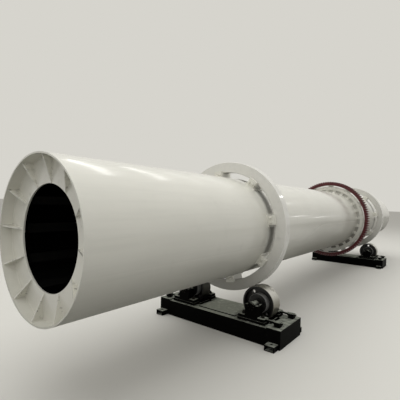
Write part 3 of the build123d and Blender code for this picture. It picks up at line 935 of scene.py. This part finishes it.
class DRYER_OT_pad_bolts(bpy.types.Operator):
    """Bolt the shims of each tyre pad together, two bolts at each end"""
    bl_idname = "dryer.pad_bolts"
    bl_label = "Pad bolts"

    def execute(self, context):
        sizes = context.scene.dryer_bolts
        turns = around(TYRE_PADS, context.scene.dryer_welds.pad_phase)
        for station in STATIONS:
            low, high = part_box(f"{station}_tyre_pads")
            places = [(on_drum(x, sizes.pad_circle, turn + apart), (outward, 0, 0))
                      for turn in turns for apart in (-sizes.pad_spread, sizes.pad_spread)
                      for x, outward in ((low.x, -1), (high.x, 1))]
            bolts(f"{station}_pad_bolts", places, sizes.pad_across, PADS_FINISH, ON_DRUM,
                  stud=0.2)
        return {"FINISHED"}


class DRYER_OT_gear_rings(bpy.types.Operator):
    """Cut the slots in the gear's web and add its mounting ring and sheet guard"""
    bl_idname = "dryer.gear_rings"
    bl_label = "Gear rings"

    def execute(self, context):
        sizes = context.scene.dryer_gear
        low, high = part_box("girth_gear_web")
        radii = (bore("girth_gear_web"), sizes.slot_inner, sizes.slot_outer,
                 extent("girth_gear_web").z / 2)
        # one part of the web is a slot in five steps and the bridge after it
        slot = [sizes.slot_phase + share * sizes.slot_arc
                for share in (-0.5, -0.3, -0.1, 0.1, 0.3, 0.5)]
        web = gear_ring("gear_slotted_web", ring_plate(
            low.x, high.x, radii, sizes.slot_count, slot, {1: range(5)}), GEAR_FINISH)
        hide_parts("girth_gear_web")
        ring_low, ring_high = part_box("gear_mount_ring")
        ring = gear_ring("gear_slim_mount_ring", ring_plate(
            ring_low.x, ring_high.x, (sizes.ring_inner, sizes.ring_outer), 120, (0,), {}),
            LEGS_FINISH)
        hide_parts("gear_mount_ring")
        # a ring of sheet steel against the backs of the legs closes the space between shell
        # and web; it is notched over each leg's foot and slotted for its rib, and the
        # degrees are from a leg's middle: foot, rib, rib, foot, and three up to the next leg
        # painted shade: the sheet closes the view between the legs, and its grey stands for the
        # shade there
        back = low.x + sizes.guard_depth
        radii = (SHELL_RADIUS, SHELL_RADIUS + LEG_FOOT_HEIGHT, SHELL_RADIUS + LEG_RIB_HEIGHT,
                 sizes.guard_radius)
        leg = [context.scene.dryer_welds.leg_phase + math.radians(degrees)
               for degrees in (-3.06, -0.52, 0.52, 3.06, 5.3, 7.5, 9.7)]
        gear_ring("gear_sheet_guard", ring_plate(
            back, back + sizes.guard_sheet, radii, SPRING_LEGS, leg, {0: range(3), 1: (1,)}),
            GUARD_FINISH)
        return {"FINISHED"}


class DRYER_OT_gear_welds(bpy.types.Operator):
    """Weld the spring legs to the shell and the gear's web to its rim"""
    bl_idname = "dryer.gear_welds"
    bl_label = "Gear welds"

    def execute(self, context):
        sizes = context.scene.dryer_welds
        low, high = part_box("gear_spring_legs")
        paths = [patch_outline(low.x, high.x, turn, HALF_LEG / SHELL_RADIUS)
                 for turn in around(SPRING_LEGS, sizes.leg_phase)]
        rim_radius = extent("girth_gear_web").z / 2 - 0.001
        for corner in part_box("girth_gear_web"):
            paths.append(arc_on_drum(corner.x, rim_radius, 0, 2 * math.pi))
        welds("gear_welds", paths, sizes.drum_bead, LEGS_FINISH, ON_DRUM)
        return {"FINISHED"}


class DRYER_OT_gear_bolts(bpy.types.Operator):
    """Bolt the mounting ring to the girth gear's web"""
    bl_idname = "dryer.gear_bolts"
    bl_label = "Gear bolts"

    def execute(self, context):
        sizes = context.scene.dryer_bolts
        ring_low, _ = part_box("gear_mount_ring")
        _, web_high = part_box("girth_gear_web")
        places = [(on_drum(x, sizes.ring_circle, turn), (outward, 0, 0))
                  for turn in around(sizes.ring_count, math.pi / sizes.ring_count)
                  for x, outward in ((ring_low.x, -1), (web_high.x, 1))]
        bolts("gear_ring_bolts", places, sizes.ring_across, LEGS_FINISH, ON_DRUM)
        return {"FINISHED"}


class DRYER_OT_bearing_bolts(bpy.types.Operator):
    """Put the foot nuts, cap bolts, cover screws and grease nipples on the bearings"""
    bl_idname = "dryer.bearing_bolts"
    bl_label = "Bearing bolts"

    def execute(self, context):
        sizes = context.scene.dryer_bolts
        up = (0, 0, 1)
        for station in STATIONS:
            feet, caps, covers, nipples = [], [], [], []
            foot_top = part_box(f"{station}_bearing_bases")[0].z + FOOT_THICKNESS
            cap_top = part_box(f"{station}_bearing_caps")[1].z
            cover_low, cover_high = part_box(f"{station}_bearing_covers")
            for x, y, z, outward in bearings(station):
                for side in (-1, 1):
                    feet.append(((x, y + side * sizes.foot_from_shaft, foot_top), up))
                    caps.append(((x, y + side * sizes.cap_from_shaft,
                                  z + CAP_FLANGE_ABOVE_SHAFT), up))
                face = cover_high.x if outward > 0 else cover_low.x
                for turn in around(sizes.cover_count):
                    covers.append(((face, y + sizes.cover_circle * math.cos(turn),
                                    z + sizes.cover_circle * math.sin(turn)), (outward, 0, 0)))
                nipples.append(((x, y, cap_top), up))
            for kind, places, across, shares in (
                    ("foot_nuts", feet, sizes.foot_across, {}),
                    ("cap_bolts", caps, sizes.cap_across, {"stud": 0.25}),
                    ("cover_screws", covers, sizes.cover_across, {"stud": 0.05}),
                    ("grease_nipples", nipples, sizes.cover_across, {"nut": 0.6, "stud": 0.9})):
                bolts(f"{station}_{kind}", places, across, BOLT_FINISH, ON_FRAME, **shares)
        return {"FINISHED"}


class DRYER_OT_frame_welds(bpy.types.Operator):
    """Weld the bearing seats and top plates to the base frames"""
    bl_idname = "dryer.frame_welds"
    bl_label = "Frame welds"

    def execute(self, context):
        for station in STATIONS:
            x_middle = middle(f"{station}_frame_beams").x
            beam_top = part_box(f"{station}_frame_beams")[1].z
            _, seat_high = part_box(f"{station}_bearing_seats")
            plate_low, plate_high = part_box(f"{station}_frame_top_plates")
            paths = []
            # along the outer edge of each seat
            for along in (-1, 1):
                edge = x_middle + along * (seat_high.x - x_middle)
                for side in (-1, 1):
                    ends = [side * seat_high.y, side * (ROLLER_Y - SEAT_FROM_ROLLER)]
                    paths.append([(edge, y, beam_top)
                                  for y in (ends[0], (ends[0] + ends[1]) / 2, ends[1])])
            # across each beam, along the inner edge of each top plate
            for side in (-1, 1):
                inner = side * (plate_high.y - TOP_PLATE_LENGTH)
                for ends in ((plate_low.x + 0.002, x_middle - HALF_SEAT_SPACING),
                             (x_middle + HALF_SEAT_SPACING, plate_high.x - 0.002)):
                    paths.append([(x, inner, beam_top) for x in ends])
            welds(f"{station}_frame_welds", paths, context.scene.dryer_welds.frame_bead,
                  FRAME_FINISH, ON_FRAME)
        return {"FINISHED"}


# ---- stage ----
WARM = (1.0, 0.99, 0.965)
COOL = (0.97, 0.985, 1.0)


def studio_floor(pale):
    """A pale floor that throws little light up under the drum."""
    half = 150.0
    mesh = bpy.data.meshes.new("Studio_floor")
    mesh.from_pydata([(-half, -half, 0), (half, -half, 0), (half, half, 0), (-half, half, 0)],
                     [], [(0, 1, 2, 3)])
    floor = bpy.data.objects.new("Studio_floor", mesh)
    bpy.context.scene.collection.objects.link(floor)
    material, tree, shader, _ = new_material("Matt_studio_floor")
    join(tree, shader, {
        "Base Color": laid_over(tree, (0.20, 0.20, 0.19, 1), (seen_rays(tree), pale)),
        "Roughness": 1.0, "Specular IOR Level": 0.0})
    mesh.materials.append(material)


def studio_world(pale):
    """Even soft light from all round the room, with a pale backdrop."""
    world = bpy.data.worlds.new("Soft_studio")
    world.use_nodes = True
    tree = world.node_tree
    tree.nodes.clear()
    ambient, backdrop = (
        add_node(tree, "ShaderNodeBackground", {"Color": colour, "Strength": strength})
        for colour, strength in ((rgba(WARM), 0.58), (pale, 1.0)))
    both = add_node(tree, "ShaderNodeMixShader", (seen_rays(tree), ambient, backdrop))
    add_node(tree, "ShaderNodeOutputWorld", {"Surface": both})
    bpy.context.scene.world = world


def panel(name, place, size, power, colour=WARM, glossy=True, aimed=False):
    """A rectangular lamp that shines down, or towards the middle of the floor."""
    lamp = bpy.data.lights.new(name, "AREA")
    lamp.shape = "RECTANGLE"
    lamp.size, lamp.size_y = size
    lamp.energy = power
    lamp.color = colour
    made = bpy.data.objects.new(name, lamp)
    made.location = place
    made.visible_glossy = glossy
    if aimed:
        made.rotation_euler = (-Vector(place)).to_track_quat("-Z", "Y").to_euler()
    bpy.context.scene.collection.objects.link(made)


def photo_camera():
    """The camera as the fit to the photograph gives it."""
    lens = bpy.data.cameras.new("Photo_camera")
    lens.sensor_width = 36.0
    lens.lens = 29.1535
    lens.shift_x = 0.00097
    lens.shift_y = 0.02405
    lens.clip_end = 400.0
    camera = bpy.data.objects.new("Photo_camera", lens)
    camera.location = (-6.43915, -2.24635, 1.5254)
    camera.rotation_euler = Euler([math.radians(a) for a in (88.58917, -1.85123, -51.65888)])
    bpy.context.scene.collection.objects.link(camera)
    bpy.context.scene.camera = camera


class DRYER_OT_stage(bpy.types.Operator):
    """Set the floor, the soft light and the camera"""
    bl_idname = "dryer.stage"
    bl_label = "Stage"

    def execute(self, context):
        pale = rgba(context.scene.dryer_colours.floor)
        studio_floor(pale)
        studio_world(pale)
        # a wide soft ceiling for the shade under the drum, and narrow roof strips
        # across the hall, which show as streaks along the shell
        panel("Ceiling", (0, 0, 11.0), (26.0, 16.0), 1200, COOL, glossy=False)
        for index, (x, power) in enumerate((
                (-2.7, 12), (-0.75, 18), (1.5, 13), (3.6, 4), (5.7, 4))):
            panel(f"Roof_strip_{index}", (x, 3.25, 7.5), (0.38, 4.5), power)
        # small far panes past the discharge end, which spark on the tyre and the shell
        for index, (place, size, power) in enumerate((
                ((20.4, -9.0, 4.7), (0.5, 0.3), 4.2), ((26.0, -9.0, 3.8), (1.0, 0.3), 6.0),
                ((20.0, -5.8, 10.5), (0.5, 0.5), 13.0))):
            panel(f"Far_pane_{index}", place, size, power, aimed=True)
        # a wide weak fill from behind the camera reaches the recessed end
        panel("Fill", (-16.0, -7.0, 3.5), (12.0, 6.0), 98, COOL, glossy=False, aimed=True)
        photo_camera()
        context.scene.view_settings.view_transform = "Standard"
        return {"FINISHED"}


class DRYER_PT_pieces(bpy.types.Panel):
    """Lists the dryer's operators and settings in the sidebar"""
    bl_idname = "DRYER_PT_pieces"
    bl_label = "Rotary drum dryer"
    bl_space_type = "VIEW_3D"
    bl_region_type = "UI"
    bl_category = "Dryer"

    def draw(self, context):
        for operator in OPERATORS:
            self.layout.operator(operator.bl_idname)
        for settings in GROUPS:
            group = getattr(context.scene, settings)
            box = self.layout.box()
            for name in group.__annotations__:
                box.prop(group, name)


# in the order that main calls them: the paints are made before what takes them
OPERATORS = (
    DRYER_OT_stage, DRYER_OT_paint_drum, DRYER_OT_paint_gear, DRYER_OT_paint_stations,
    DRYER_OT_end_welds, DRYER_OT_pad_welds, DRYER_OT_pad_bolts, DRYER_OT_gear_rings,
    DRYER_OT_gear_welds, DRYER_OT_gear_bolts, DRYER_OT_bearing_bolts, DRYER_OT_frame_welds,
)
GROUPS = {"dryer_colours": DryerColours, "dryer_bolts": DryerBoltSizes,
          "dryer_gear": DryerGearSizes, "dryer_welds": DryerWeldSizes}
CLASSES = (*GROUPS.values(), *OPERATORS, DRYER_PT_pieces)


def register():
    for made in CLASSES:
        bpy.utils.register_class(made)
    for name, group in GROUPS.items():
        setattr(bpy.types.Scene, name, bpy.props.PointerProperty(type=group))


def unregister():
    for name in GROUPS:
        delattr(bpy.types.Scene, name)
    for made in reversed(CLASSES):
        bpy.utils.unregister_class(made)


def main():
    register()
    for operator in OPERATORS:
        group, name = operator.bl_idname.split(".")
        getattr(getattr(bpy.ops, group), name)()


if __name__ == "__main__":
    main()
